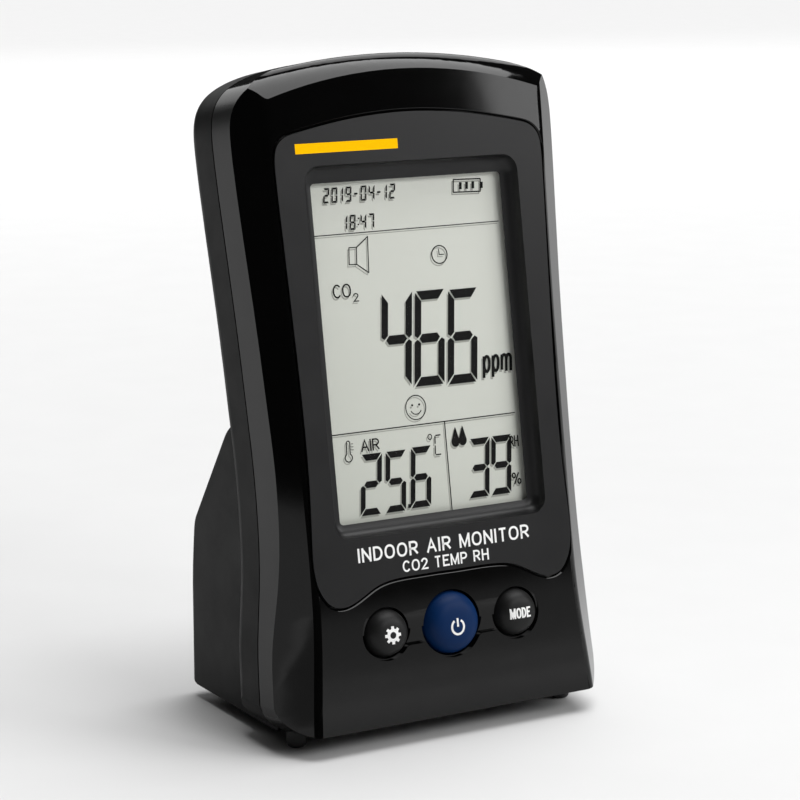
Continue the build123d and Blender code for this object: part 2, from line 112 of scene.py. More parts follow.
def plastic(name, dark, light, rough_lo, rough_hi, grain_scale, grain_depth, swirl=12.0, coat=0.0, coat_rough=0.05, spec=0.5):
    """moulded plastic: colour drift, uneven gloss, and a mould grain in the surface"""
    m, nt, b = new_mat(name)
    big = noise(nt, swirl, 4.0, 0.55)
    fine = noise(nt, grain_scale, 3.0, 0.6)
    wear = noise(nt, 95.0, 5.0, 0.65)
    nt.links.new(ramp(nt, big.outputs["Fac"], 0.3, 0.7, dark, light), b.inputs["Base Color"])
    nt.links.new(maprange(nt, wear.outputs["Fac"], 0.3, 0.7, rough_lo, rough_hi), b.inputs["Roughness"])
    bump(nt, b, [(big.outputs["Fac"], grain_depth * 3.0), (fine.outputs["Fac"], grain_depth)], 0.25)
    b.inputs["Specular IOR Level"].default_value = spec
    if coat > 0:
        b.inputs["Coat Weight"].default_value = coat
        b.inputs["Coat Roughness"].default_value = coat_rough
    return m


def metal(name, dark, light, rough_lo, rough_hi, stretch=(1.0, 1.0, 1.0), scale=900.0):
    m, nt, b = new_mat(name)
    tc = nt.nodes.new("ShaderNodeTexCoord")
    mp = nt.nodes.new("ShaderNodeMapping")
    mp.inputs["Scale"].default_value = stretch
    n = nt.nodes.new("ShaderNodeTexNoise")
    n.inputs["Scale"].default_value = scale
    n.inputs["Detail"].default_value = 4.0
    nt.links.new(tc.outputs["Object"], mp.inputs["Vector"])
    nt.links.new(mp.outputs["Vector"], n.inputs["Vector"])
    b.inputs["Metallic"].default_value = 1.0
    nt.links.new(ramp(nt, n.outputs["Fac"], 0.3, 0.7, dark, light), b.inputs["Base Color"])
    nt.links.new(maprange(nt, n.outputs["Fac"], 0.3, 0.7, rough_lo, rough_hi), b.inputs["Roughness"])
    bump(nt, b, [(n.outputs["Fac"], 0.00001)], 0.3)
    return m


def g(x):
    """grey of an 8-bit screen value"""
    c = x / 255.0
    c = c / 12.92 if c <= 0.04045 else ((c + 0.055) / 1.055) ** 2.4
    return (c, c, c)


def rgb(r, gg, b):
    return (g(r)[0], g(gg)[0], g(b)[0])


MAT = {}
def gloss_black():
    """polished front, with the side walls left satin from the mould and given a lighter base colour as painted sheen"""
    m, nt, b = new_mat("gloss_black")
    tc = nt.nodes.new("ShaderNodeTexCoord")
    sep = nt.nodes.new("ShaderNodeSeparateXYZ")
    nt.links.new(tc.outputs["Normal"], sep.inputs["Vector"])
    ab = nt.nodes.new("ShaderNodeMath")
    ab.operation = "ABSOLUTE"
    nt.links.new(sep.outputs["X"], ab.inputs[0])
    side = maprange(nt, ab.outputs[0], 0.80, 0.93, 0.0, 1.0)
    wear = noise(nt, 95.0, 5.0, 0.65)
    big = noise(nt, 26.0, 4.0, 0.55)
    fine = noise(nt, 3400.0, 3.0, 0.6)
    mix = nt.nodes.new("ShaderNodeMix")
    mix.data_type = "RGBA"
    nt.links.new(side, mix.inputs["Factor"])
    # painted sheen: the side walls get a lighter base colour than the polished front, on top of their real satin
    # roughness
    nt.links.new(ramp(nt, big.outputs["Fac"], 0.3, 0.7, (0.0010, 0.0010, 0.0010), (0.0016, 0.0016, 0.0016)), mix.inputs[6])
    nt.links.new(ramp(nt, big.outputs["Fac"], 0.3, 0.7, (0.0025, 0.0025, 0.0025), (0.0040, 0.0040, 0.0040)), mix.inputs[7])
    nt.links.new(mix.outputs[2], b.inputs["Base Color"])
    r0 = maprange(nt, wear.outputs["Fac"], 0.3, 0.7, 0.045, 0.070)
    add = nt.nodes.new("ShaderNodeMath")
    add.operation = "MULTIPLY_ADD"
    nt.links.new(side, add.inputs[0])
    add.inputs[1].default_value = 0.30
    nt.links.new(r0, add.inputs[2])
    nt.links.new(add.outputs[0], b.inputs["Roughness"])
    b.inputs["Specular IOR Level"].default_value = 0.24
    bump(nt, b, [(fine.outputs["Fac"], 0.0000015)], 0.25)
    return m


MAT["gloss_black"] = gloss_black()
MAT["satin_black"] = plastic("satin_black", (0.0048, 0.0048, 0.0048), (0.0066, 0.0066, 0.0066), 0.38, 0.48, 3600.0, 0.000010, swirl=30.0, spec=0.08)
MAT["panel_grey"] = plastic("panel_grey", (0.0080, 0.0080, 0.0084), (0.0100, 0.0100, 0.0104), 0.32, 0.40, 4200.0, 0.000008, swirl=40.0, spec=0.24)
MAT["key_black"] = plastic("key_black", (0.0070, 0.0070, 0.0070), (0.0090, 0.0090, 0.0090), 0.42, 0.50, 4200.0, 0.000008, swirl=120.0, spec=0.2)
MAT["key_blue"] = plastic("key_blue", (0.0012, 0.0155, 0.066), (0.0018, 0.0190, 0.078), 0.42, 0.50, 4200.0, 0.000008, swirl=120.0, spec=0.10)
MAT["foot_rubber"] = plastic("foot_rubber", (0.008, 0.008, 0.008), (0.014, 0.014, 0.014), 0.6, 0.75, 3000.0, 0.00002, swirl=300.0)
MAT["black_tape"] = plastic("black_tape", (0.006, 0.006, 0.006), (0.012, 0.012, 0.012), 0.7, 0.85, 2500.0, 0.00003)
MAT["white_plastic"] = plastic("white_plastic", (0.60, 0.60, 0.58), (0.70, 0.70, 0.68), 0.4, 0.5, 3000.0, 0.00001)
MAT["light_guide"] = plastic("light_guide", (0.70, 0.72, 0.70), (0.80, 0.82, 0.80), 0.2, 0.3, 1500.0, 0.00001)
MAT["silicone"] = plastic("silicone", (0.05, 0.05, 0.05), (0.09, 0.09, 0.09), 0.5, 0.6, 2500.0, 0.00001)
MAT["component_black"] = plastic("component_black", (0.010, 0.010, 0.010), (0.018, 0.018, 0.018), 0.45, 0.6, 2500.0, 0.00002)
MAT["cell_wrap"] = plastic("cell_wrap", (0.03, 0.09, 0.30), (0.04, 0.12, 0.36), 0.25, 0.35, 1500.0, 0.00001)
MAT["lead_red"] = plastic("lead_red", (0.32, 0.015, 0.012), (0.42, 0.02, 0.018), 0.35, 0.45, 1500.0, 0.00001)
MAT["steel_screws"] = metal("steel_screws", (0.28, 0.28, 0.29), (0.42, 0.42, 0.43), 0.28, 0.42)
MAT["steel_shell"] = metal("steel_shell", (0.45, 0.45, 0.46), (0.6, 0.6, 0.61), 0.22, 0.36, (1, 12, 1))
MAT["gold_cell"] = metal("gold_cell", (0.55, 0.38, 0.12), (0.72, 0.52, 0.20), 0.22, 0.34)
MAT["pin_brass"] = metal("pin_brass", (0.55, 0.40, 0.16), (0.70, 0.54, 0.24), 0.25, 0.35)


def board_mat():
    m, nt, b = new_mat("green_board")
    tc = nt.nodes.new("ShaderNodeTexCoord")
    br = nt.nodes.new("ShaderNodeTexBrick")
    br.inputs["Scale"].default_value = 260.0
    br.inputs["Color1"].default_value = (0.010, 0.075, 0.030, 1)
    br.inputs["Color2"].default_value = (0.014, 0.095, 0.038, 1)
    br.inputs["Mortar"].default_value = (0.020, 0.13, 0.055, 1)
    br.inputs["Mortar Size"].default_value = 0.03
    nt.links.new(tc.outputs["Object"], br.inputs["Vector"])
    nt.links.new(br.outputs["Color"], b.inputs["Base Color"])
    n = noise(nt, 400.0)
    nt.links.new(maprange(nt, n.outputs["Fac"], 0.3, 0.7, 0.28, 0.40), b.inputs["Roughness"])
    bump(nt, b, [(br.outputs["Fac"], 0.00003)], 0.3)
    return m


MAT["green_board"] = board_mat()


def filter_mat():
    m, nt, b = new_mat("filter_white")
    n = noise(nt, 5200.0, 2.0)
    nt.links.new(ramp(nt, n.outputs["Fac"], 0.35, 0.65, (0.62, 0.62, 0.60), (0.82, 0.82, 0.80)), b.inputs["Base Color"])
    b.inputs["Roughness"].default_value = 0.9
    bump(nt, b, [(n.outputs["Fac"], 0.00003)], 0.6)
    return m


MAT["filter_white"] = filter_mat()


def lcd_mat():
    """reflective display: pale grey-green with painted shade, darker low on the left and lighter towards the lit upper
    right, very fine grain
    """
    m, nt, b = new_mat("lcd_glass")
    tc = nt.nodes.new("ShaderNodeTexCoord")
    sep = nt.nodes.new("ShaderNodeSeparateXYZ")
    nt.links.new(tc.outputs["Object"], sep.inputs["Vector"])
    # painted light: the base colour lightens towards the top and towards the right, where the light comes from
    painted_light_upward = maprange(nt, sep.outputs["Z"], 0.045, 0.130, 0.0, 0.62)
    side = maprange(nt, sep.outputs["X"], -0.026, 0.026, 0.0, 0.38)
    add = nt.nodes.new("ShaderNodeMath")
    add.operation = "ADD"
    nt.links.new(painted_light_upward, add.inputs[0])
    nt.links.new(side, add.inputs[1])
    base = ramp(nt, add.outputs[0], 0.0, 1.0, rgb(197, 200, 191), rgb(217, 219, 211))
    n = noise(nt, 2600.0, 2.0)
    mix = nt.nodes.new("ShaderNodeMix")
    mix.data_type = "RGBA"
    mix.blend_type = "MULTIPLY"
    mix.inputs["Factor"].default_value = 0.15
    nt.links.new(base, mix.inputs[6])
    nt.links.new(ramp(nt, n.outputs["Fac"], 0.3, 0.7, (0.93, 0.93, 0.93), (1, 1, 1)), mix.inputs[7])
    nt.links.new(mix.outputs[2], b.inputs["Base Color"])
    nt.links.new(maprange(nt, n.outputs["Fac"], 0.3, 0.7, 0.55, 0.6), b.inputs["Roughness"])
    b.inputs["Specular IOR Level"].default_value = 0.2
    bump(nt, b, [(n.outputs["Fac"], 0.000001)], 0.2)
    return m


MAT["lcd_glass"] = lcd_mat()


def ink(name, dark, light, rough=0.5, spec=0.5):
    m, nt, b = new_mat(name)
    b.inputs["Specular IOR Level"].default_value = spec
    n = noise(nt, 2600.0, 3.0)
    nt.links.new(ramp(nt, n.outputs["Fac"], 0.3, 0.7, dark, light), b.inputs["Base Color"])
    nt.links.new(maprange(nt, n.outputs["Fac"], 0.3, 0.7, rough - 0.05, rough + 0.06), b.inputs["Roughness"])
    bump(nt, b, [(n.outputs["Fac"], 0.000004)], 0.3)
    return m


MAT["segment"] = ink("segment", (0.0030, 0.0030, 0.0028), (0.0045, 0.0045, 0.0042), 0.5, 0.1)
MAT["segment_shadow"] = ink("segment_shadow", rgb(156, 158, 150), rgb(161, 163, 155), 0.5, 0.2)
MAT["white_print"] = ink("white_print", (0.80, 0.80, 0.79), (0.88, 0.88, 0.87), 0.55)
MAT["amber_print"] = ink("amber_print", (0.95, 0.49, 0.001), (1.0, 0.53, 0.001), 0.7, 0.02)


def window_mat():
    """thin clear acrylic: sees straight through, with a faint gloss"""
    m, nt, b = new_mat("clear_window")
    n = noise(nt, 60.0, 3.0)
    b.inputs["Base Color"].default_value = (0.02, 0.02, 0.02, 1)
    b.inputs["Alpha"].default_value = 0.03
    b.inputs["IOR"].default_value = 1.35
    b.inputs["Specular IOR Level"].default_value = 0.2
    nt.links.new(maprange(nt, n.outputs["Fac"], 0.3, 0.7, 0.04, 0.08), b.inputs["Roughness"])
    return m


MAT["clear_window"] = window_mat()

SLOTS = {s["node"]: s["material_slot"] for s in frame["record"]["subparts"]}
for name, o in NODES.items():
    m = MAT[SLOTS[name]]
    o.data.materials.clear()
    o.data.materials.append(m)


# ------------------------------------------------------------------ mesh helpers
def link(mesh, name, mat, body, smooth=None):
    o = bpy.data.objects.new(name, mesh)
    scene.collection.objects.link(o)
    mesh.materials.append(mat)
    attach(o, body)
    return o


def ccw(poly):
    a = sum(poly[i][0] * poly[(i + 1) % len(poly)][1] - poly[(i + 1) % len(poly)][0] * poly[i][1] for i in range(len(poly)))
    return poly if a > 0 else poly[::-1]


def plates(name, polys, w_front, thick, mat, body, dome=None):
    """flat shapes in the face plane, as thin closed prisms; polys are simple outlines"""
    bm = bmesh.new()
    for poly in polys:
        poly = ccw(poly)
        top, bot = [], []
        for u, v in poly:
            w = w_front + (dome(u, v) if dome else 0.0)
            top.append(bm.verts.new(F(u, v, w)))
            bot.append(bm.verts.new(F(u, v, w + thick)))
        n = len(poly)
        for i in range(n):
            j = (i + 1) % n
            bm.faces.new((top[j], top[i], bot[i], bot[j]))
        bm.faces.new(top)
        bm.faces.new(bot[::-1])
    bmesh.ops.recalc_face_normals(bm, faces=bm.faces)
    tri = [f for f in bm.faces if len(f.verts) > 4]
    bmesh.ops.triangulate(bm, faces=tri)
    mesh = bpy.data.meshes.new(name)
    bm.to_mesh(mesh)
    bm.free()
    return link(mesh, name, mat, body)


def flat(u, v):
    return 0.0


def rings(name, outer, inner, w_front, thick, bm, dome=flat):
    """closed band between two loops of equal length"""
    n = len(outer)
    a = [bm.verts.new(F(u, v, w_front + dome(u, v))) for u, v in outer]
    b = [bm.verts.new(F(u, v, w_front + dome(u, v))) for u, v in inner]
    c = [bm.verts.new(F(u, v, w_front + thick + dome(u, v))) for u, v in outer]
    d = [bm.verts.new(F(u, v, w_front + thick + dome(u, v))) for u, v in inner]
    for i in range(n):
        j = (i + 1) % n
        bm.faces.new((a[i], a[j], b[j], b[i]))
        bm.faces.new((c[j], c[i], d[i], d[j]))
        bm.faces.new((a[j], a[i], c[i], c[j]))
        bm.faces.new((b[i], b[j], d[j], d[i]))


def stroke(pts, width, cap=0.0):
    """outline of an open line of constant width with mitred turns"""
    h = width / 2
    n = len(pts)
    left, right = [], []
    for i in range(n):
        dirs = []
        if i > 0:
            dx, dy = pts[i][0] - pts[i - 1][0], pts[i][1] - pts[i - 1][1]
            k = hypot(dx, dy)
            dirs.append((dx / k, dy / k))
        if i < n - 1:
            dx, dy = pts[i + 1][0] - pts[i][0], pts[i + 1][1] - pts[i][1]
            k = hypot(dx, dy)
            dirs.append((dx / k, dy / k))
        tx = sum(d[0] for d in dirs) / len(dirs)
        ty = sum(d[1] for d in dirs) / len(dirs)
        k = hypot(tx, ty)
        tx, ty = tx / k, ty / k
        m = h / max(0.5, (tx * dirs[0][0] + ty * dirs[0][1]))
        px, py = pts[i]
        if i == 0:
            px, py = px - dirs[0][0] * cap, py - dirs[0][1] * cap
        if i == n - 1:
            px, py = px + dirs[-1][0] * cap, py + dirs[-1][1] * cap
        left.append((px - ty * m, py + tx * m))
        right.append((px + ty * m, py - tx * m))
    return left + right[::-1]


def arc(cx, cy, rx, ry, a0, a1, n=24):
    return [(cx + rx * cos(radians(a0 + (a1 - a0) * i / n)), cy + ry * sin(radians(a0 + (a1 - a0) * i / n))) for i in range(n + 1)]


def circle_poly(cx, cy, r, n=28, ry=None):
    ry = r if ry is None else ry
    return [(cx + r * cos(2 * pi * i / n), cy + ry * sin(2 * pi * i / n)) for i in range(n)]


# ------------------------------------------------------------------ seven segment digits
SEG_ON = {"0": "abcdef", "1": "bc", "2": "abged", "3": "abgcd", "4": "fgbc", "5": "afgcd", "6": "afgedc", "7": "abc",
          "8": "abcdefg", "9": "abcdfg", "-": "g", "C": "afed"}


def digit(ch, u, v, wd, ht, th, gap, slant):
    """lit segments of one digit; (u, v) is the lower left corner before the slant"""
    x0, x1, y0, y1, ym = 0.0, wd, 0.0, ht, ht / 2
    t, k, q = th, gap, th * 1.22
    s = {
        "a": [(x0 + k, y1), (x1 - k, y1), (x1 - t - k * .2, y1 - q), (x0 + t + k * .2, y1 - q)],
        "d": [(x0 + k, y0), (x1 - k, y0), (x1 - t - k * .2, y0 + q), (x0 + t + k * .2, y0 + q)],
        "f": [(x0, y1 - k), (x0 + t, y1 - q - k), (x0 + t, ym + t * .55 + k * .3), (x0 + t * .45, ym + k * .55), (x0, ym + t * .3 + k * .6)],
        "b": [(x1, y1 - k), (x1 - t, y1 - q - k), (x1 - t, ym + t * .55 + k * .3), (x1 - t * .45, ym + k * .55), (x1, ym + t * .3 + k * .6)],
        "e": [(x0, y0 + k), (x0 + t, y0 + q + k), (x0 + t, ym - t * .55 - k * .3), (x0 + t * .45, ym - k * .55), (x0, ym - t * .3 - k * .6)],
        "c": [(x1, y0 + k), (x1 - t, y0 + q + k), (x1 - t, ym - t * .55 - k * .3), (x1 - t * .45, ym - k * .55), (x1, ym - t * .3 - k * .6)],
        "g": [(x0 + t * .55 + k, ym), (x0 + t + k, ym + q * .5), (x1 - t - k, ym + q * .5), (x1 - t * .55 - k, ym), (x1 - t - k, ym - q * .5),
              (x0 + t + k, ym - q * .5)],
    }
    out = []
    for name in SEG_ON[ch]:
        out.append([(u + x + slant * y, v + y) for x, y in s[name]])
    return out


LCD_W = 4.94
polys = []
S = 0.105
# large reading
for i, ch in enumerate("466"):
    u0 = (-10.75, -1.75, 7.35)[i]
    polys += digit(ch, u0, (76.9, 76.2, 76.0)[0] - 0.35 * i, 8.25, 22.3, 1.75, 0.34, S)
# temperature
for ch, u0, v0 in (("2", -19.15, 48.1), ("5", -12.55, 48.05), ("6", -5.65, 48.3)):
    polys += digit(ch, u0, v0, 5.6, 14.2, 1.25, 0.25, S)
polys.append([(-6.35, 48.5), (-5.5, 48.5), (-5.4, 49.4), (-6.25, 49.4)])
# humidity
for ch, u0, v0 in (("3", 10.55, 48.75), ("9", 16.75, 48.75)):
    polys += digit(ch, u0, v0, 5.7, 14.0, 1.25, 0.25, S)


# small clock and date: the letters are built from the same segments
def small(text, u, v, wd, ht, th, step, narrow=None):
    out = []
    x = u
    for ch in text:
        if ch == " ":
            x += step * 0.5
        elif ch == ":":
            for y in (0.28, 0.68):
                out.append([(x + S * ht * y, v + ht * y), (x + 0.38 + S * ht * y, v + ht * y), (x + 0.38 + S * ht * (y + .1), v + ht * (y + .1)),
                            (x + S * ht * (y + .1), v + ht * (y + .1))])
            x += 0.75
        elif ch == "1":
            out += [[(px - wd * 0.42, py) for px, py in poly] for poly in digit(ch, x, v, wd, ht, th, 0.06, S)]
            x += step * 0.72
        elif ch == "-":
            out += digit(ch, x - wd * 0.15, v, wd, ht, th, 0.05, S)
            x += step * 0.86
        else:
            out += digit(ch, x, v, wd, ht, th, 0.06, S)
            x += step
    return out


polys += small("2019-04-12", -21.75, 120.9, 1.55, 3.5, 0.36, 2.16)
polys += small("18:47", -16.95, 114.35, 1.55, 3.5, 0.36, 2.12)
# rules
polys.append(stroke([(-25.4, 113.55), (25.4, 113.75)], 0.20))
polys.append(stroke([(-25.4, 67.55), (25.4, 67.75)], 0.24))
polys.append(stroke([(5.58, 67.6), (5.58, 46.0)], 0.24))
# speaker
polys += [stroke([(-16.35, 106.4), (-16.05, 110.3)], 0.22, 0.08), stroke([(-16.35, 106.4), (-14.35, 106.35)], 0.22, 0.08),
          stroke([(-16.05, 110.3), (-14.05, 110.3)], 0.22, 0.08), stroke([(-14.35, 106.35), (-14.05, 110.3)], 0.22, 0.08),
          stroke([(-14.35, 106.35), (-11.35, 104.2)], 0.22, 0.08), stroke([(-14.05, 110.3), (-10.85, 112.6)], 0.22, 0.08),
          stroke([(-11.35, 104.2), (-10.85, 112.6)], 0.22, 0.08)]
# clock hands
polys += [stroke([(8.0, 108.3), (8.1, 107.0)], 0.2, 0.06), stroke([(8.0, 107.0), (9.35, 106.95)], 0.2, 0.06)]
# smile and eyes
polys += [circle_poly(-2.85, 72.35, 0.27, 16), circle_poly(-0.95, 72.35, 0.27, 16), stroke(arc(-1.9, 71.6, 1.5, 1.45, 205, 335, 18), 0.22, 0.05)]
# battery with three bars
polys += [stroke([(13.45, 121.35), (20.95, 121.15)], 0.3, 0.1), stroke([(13.75, 124.35), (21.25, 124.15)], 0.3, 0.1),
          stroke([(13.45, 121.35), (13.75, 124.35)], 0.3), stroke([(20.95, 121.15), (21.25, 124.15)], 0.3),
          [(21.2, 121.9), (21.75, 121.9), (21.9, 123.35), (21.35, 123.4)]]
for i in range(3):
    x = 15.1 + 1.75 * i
    polys.append([(x, 121.95), (x + 0.75, 121.93), (x + 0.9, 123.6), (x + 0.15, 123.62)])
# thermometer
polys += [stroke(arc(-20.95, 61.95, 0.95, 0.95, 118, 422, 26), 0.24), stroke([(-21.38, 62.8), (-21.28, 65.3)] + arc(-20.83, 65.35, 0.45, 0.5, 180, 0, 10) +
          [(-20.38, 65.3), (-20.48, 62.8)], 0.24)]
for y in (63.7, 64.4, 65.1):
    polys.append(stroke([(-20.1, y), (-19.5, y)], 0.15))
# two drops
for cx, cy in ((8.15, 62.6), (10.15, 62.75)):
    body = arc(cx, cy, 1.12, 1.25, 155, 385, 22)
    polys.append(body + [(cx + 0.32, cy + 3.1), (cx + 0.1, cy + 3.45)])
# degree ring comes as a band; C is built from segments
polys += [stroke([(4.15, 64.65), (2.75, 64.65)], 0.28), stroke([(2.62, 64.5), (2.5, 62.7)], 0.28), stroke([(2.47, 62.3), (2.33, 60.3)], 0.28),
          stroke([(2.4, 60.1), (3.9, 60.1)], 0.28)]


def bow(x0, y0, x1, y1, rx, n=12):
    """half ellipse that leaves (x0, y0) to the right and comes back at (x1, y1)"""
    cy, ry = (y0 + y1) / 2, (y0 - y1) / 2
    return [(x0 + rx * sin(pi * i / n), cy + ry * cos(pi * i / n)) for i in range(n + 1)]


def oval(cx, cy, rx, ry, n=36):
    out = []
    for i in range(n):
        a = 2 * pi * i / n
        c, q = cos(a), sin(a)
        out.append((cx + rx * abs(c) ** 0.88 * (1 if c > 0 else -1), cy + ry * abs(q) ** 0.88 * (1 if q > 0 else -1)))
    return out


# plain sans-serif capitals drawn as centre lines in a box one unit high: width, [(closed, points)]
GLYPHS = {
    " ": (0.20, []),
    "I": (0.0, [(0, [(0, 0), (0, 1)])]),
    "N": (0.56, [(0, [(0, 0), (0, 1)]), (0, [(0.0, 0.97), (0.56, 0.03)]), (0, [(0.56, 0), (0.56, 1)])]),
    "D": (0.56, [(1, [(0, 0), (0, 1)] + bow(0.20, 1, 0.20, 0, 0.36))]),
    "O": (0.64, [(1, oval(0.32, 0.5, 0.32, 0.5))]),
    "R": (0.55, [(0, [(0, 0), (0, 1)] + bow(0.27, 1, 0.27, 0.46, 0.25) + [(0, 0.46)]), (0, [(0.26, 0.46), (0.55, 0.0)])]),
    "A": (0.60, [(0, [(0, 0), (0.30, 1), (0.60, 0)]), (0, [(0.11, 0.33), (0.49, 0.33)])]),
    "M": (0.68, [(0, [(0, 0), (0, 1)]), (0, [(0.02, 0.98), (0.34, 0.06), (0.66, 0.98)]), (0, [(0.68, 0), (0.68, 1)])]),
    "T": (0.54, [(0, [(0, 1), (0.54, 1)]), (0, [(0.27, 1), (0.27, 0)])]),
    "C": (0.58, [(0, arc(0.31, 0.5, 0.31, 0.5, 48, 312, 28))]),
    "E": (0.48, [(0, [(0.48, 1), (0, 1), (0, 0), (0.50, 0)]), (0, [(0, 0.53), (0.44, 0.53)])]),
    "P": (0.50, [(0, [(0, 0), (0, 1)] + bow(0.26, 1, 0.26, 0.44, 0.26) + [(0, 0.44)])]),
    "H": (0.54, [(0, [(0, 0), (0, 1)]), (0, [(0.54, 0), (0.54, 1)]), (0, [(0, 0.52), (0.54, 0.52)])]),
    "U": (0.54, [(0, [(0, 1), (0, 0.3)] + arc(0.27, 0.27, 0.27, 0.27, 180, 360, 12) + [(0.54, 1)])]),
    "Y": (0.56, [(0, [(0, 1), (0.28, 0.42), (0.56, 1)]), (0, [(0.28, 0.45), (0.28, 0)])]),
    "2": (0.50, [(0, arc(0.25, 0.74, 0.24, 0.26, 165, -20, 14) + [(0.40, 0.50), (0.02, 0.0), (0.52, 0.0)])]),
    "%": (0.78, [(1, oval(0.14, 0.78, 0.14, 0.21, 20)), (1, oval(0.64, 0.22, 0.14, 0.21, 20)), (0, [(0.16, -0.02), (0.62, 1.02)])]),
    "p": (0.44, [(0, [(0, -0.30), (0, 0.74)]), (1, oval(0.23, 0.36, 0.21, 0.36, 24))]),
    "m": (0.74, [(0, [(0, 0), (0, 0.74)]), (0, [(0.0, 0.44)] + arc(0.185, 0.52, 0.185, 0.20, 165, 0, 10) + [(0.37, 0.0)]),
                 (0, [(0.37, 0.44)] + arc(0.555, 0.52, 0.185, 0.20, 165, 0, 10) + [(0.74, 0.0)])]),
}


def closed_band(pts, width):
    """outer and inner loops of a closed line"""
    pts = ccw(pts)
    n = len(pts)
    h = width / 2
    outer, inner = [], []
    for i in range(n):
        a, p, b = pts[i - 1], pts[i], pts[(i + 1) % n]
        d0, d1 = (p[0] - a[0], p[1] - a[1]), (b[0] - p[0], b[1] - p[1])
        k0, k1 = hypot(*d0), hypot(*d1)
        d0, d1 = (d0[0] / k0, d0[1] / k0), (d1[0] / k1, d1[1] / k1)
        tx, ty = d0[0] + d1[0], d0[1] + d1[1]
        k = hypot(tx, ty)
        tx, ty = tx / k, ty / k
        m = h / max(0.6, tx * d0[0] + ty * d0[1])
        outer.append((p[0] + ty * m, p[1] - tx * m))
        inner.append((p[0] - ty * m, p[1] + tx * m))
    return outer, inner


def dense(pts, step):
    """the same line with points no further apart than step"""
    out = [pts[0]]
    for a, b in zip(pts, pts[1:]):
        n = max(1, int(hypot(b[0] - a[0], b[1] - a[1]) / step + 0.999))
        out += [(a[0] + (b[0] - a[0]) * i / n, a[1] + (b[1] - a[1]) * i / n) for i in range(1, n + 1)]
    return out


def fit_text(name, text, u0, u1, v0, v1, w, thick, mat, body, weight=0.13, gap=0.24, slant=0.0, dome=flat):
    """lettering drawn with GLYPHS to fill a box on the face; v0 to v1 is the capitals' height and weight the line's share of it"""
    h = v1 - v0
    total = sum(GLYPHS[c][0] for c in text) + gap * (len(text) - 1) + weight
    t = weight * h
    kx = (u1 - u0) / total
    ky = h - t
    x = weight / 2
    bm = bmesh.new()
    step = 0
    for c in text:
        wd, strokes = GLYPHS[c]
        for closed, pts in strokes:
            q = [(u0 + (x + px) * kx + slant * (t / 2 + py * ky), v0 + t / 2 + py * ky) for px, py in pts]
            dw = 0.0012 * (step % 5)
            step += 1
            cap = t / 2 if len(q) == 2 and abs(q[0][0] - q[1][0]) < 0.02 or len(q) != 2 else 0.0
            if dome is not flat:
                q = dense(q + [q[0]], 0.35)[:-1] if closed else dense(q, 0.35)
            if closed:
                o1, i1 = closed_band(q, t)
                rings(name, o1, i1, w - dw, thick + dw, bm, dome)
            else:
                poly = ccw(stroke(q, t, cap))
                top = [bm.verts.new(F(a, b, w - dw + dome(a, b))) for a, b in poly]
                bot = [bm.verts.new(F(a, b, w + thick + dome(a, b))) for a, b in poly]
                for i in range(len(poly)):
                    j = (i + 1) % len(poly)
                    bm.faces.new((top[j], top[i], bot[i], bot[j]))
                bm.faces.new(top)
                bm.faces.new(bot[::-1])
        x += wd + gap
    bmesh.ops.recalc_face_normals(bm, faces=bm.faces)
    bmesh.ops.triangulate(bm, faces=[f for f in bm.faces if len(f.verts) > 4])
    me = bpy.data.meshes.new(name)
    bm.to_mesh(me)
    bm.free()
    return link(me, name, mat, body)


SH = (-0.42, -0.5)
plates("lcd_segments", polys, LCD_W, 0.03, MAT["segment"], "housing")
plates("lcd_segment_shadows", [[(a + SH[0], b + SH[1]) for a, b in p] for p in polys], LCD_W + 0.035, 0.02, MAT["segment_shadow"], "housing")


def band_object(name, bands, w, thick, mat):
    bm = bmesh.new()
    for outer, inner in bands:
        rings(name, outer, inner, w, thick, bm)
    bmesh.ops.recalc_face_normals(bm, faces=bm.faces)
    me = bpy.data.meshes.new(name)
    bm.to_mesh(me)
    bm.free()
    return link(me, name, mat, "housing")


def ring_pair(cx, cy, rx, ry, t, n=48):
    return ([(cx + (rx + t / 2) * cos(2 * pi * i / n), cy + (ry + t / 2) * sin(2 * pi * i / n)) for i in range(n)],
            [(cx + (rx - t / 2) * cos(2 * pi * i / n), cy + (ry - t / 2) * sin(2 * pi * i / n)) for i in range(n)])


bands = [ring_pair(8.15, 107.0, 2.1, 2.1, 0.26), ring_pair(-1.9, 71.75, 2.72, 2.85, 0.22), ring_pair(1.2, 64.45, 0.52, 0.6, 0.21)]
band_object("lcd_rings", bands, LCD_W, 0.03, MAT["segment"])
band_object("lcd_ring_shadows", [([(a + SH[0], b + SH[1]) for a, b in o], [(a + SH[0], b + SH[1]) for a, b in i]) for o, i in bands], LCD_W + 0.035, 0.02,
            MAT["segment_shadow"])

for name, text, box, wt, gp in (("lcd_gas", "CO", (-21.3, -16.5, 98.9, 102.1), 0.11, 0.22), ("lcd_gas_two", "2", (-16.1, -14.6, 97.75, 99.75), 0.13, 0.2),
                                ("lcd_unit", "ppm", (17.45, 25.5, 77.9, 83.6), 0.135, 0.30), ("lcd_air", "AIR", (-17.5, -12.5, 62.95, 65.75), 0.125, 0.22),
                                ("lcd_rh", "RH", (23.2, 25.68, 59.6, 62.3), 0.125, 0.22), ("lcd_percent", "%", (23.0, 25.6, 50.5, 53.5), 0.12, 0.2)):
    u0, u1, v0, v1 = box
    sl = 0.09 if text in ("ppm",) else 0.0
    fit_text(name, text, u0, u1, v0, v1, LCD_W, 0.03, MAT["segment"], "housing", weight=wt, gap=gp, slant=sl)
    fit_text(name + "_shadow", text, u0 + SH[0], u1 + SH[0], v0 + SH[1], v1 + SH[1], LCD_W + 0.035, 0.01, MAT["segment_shadow"], "housing",
             weight=wt, gap=gp, slant=sl)

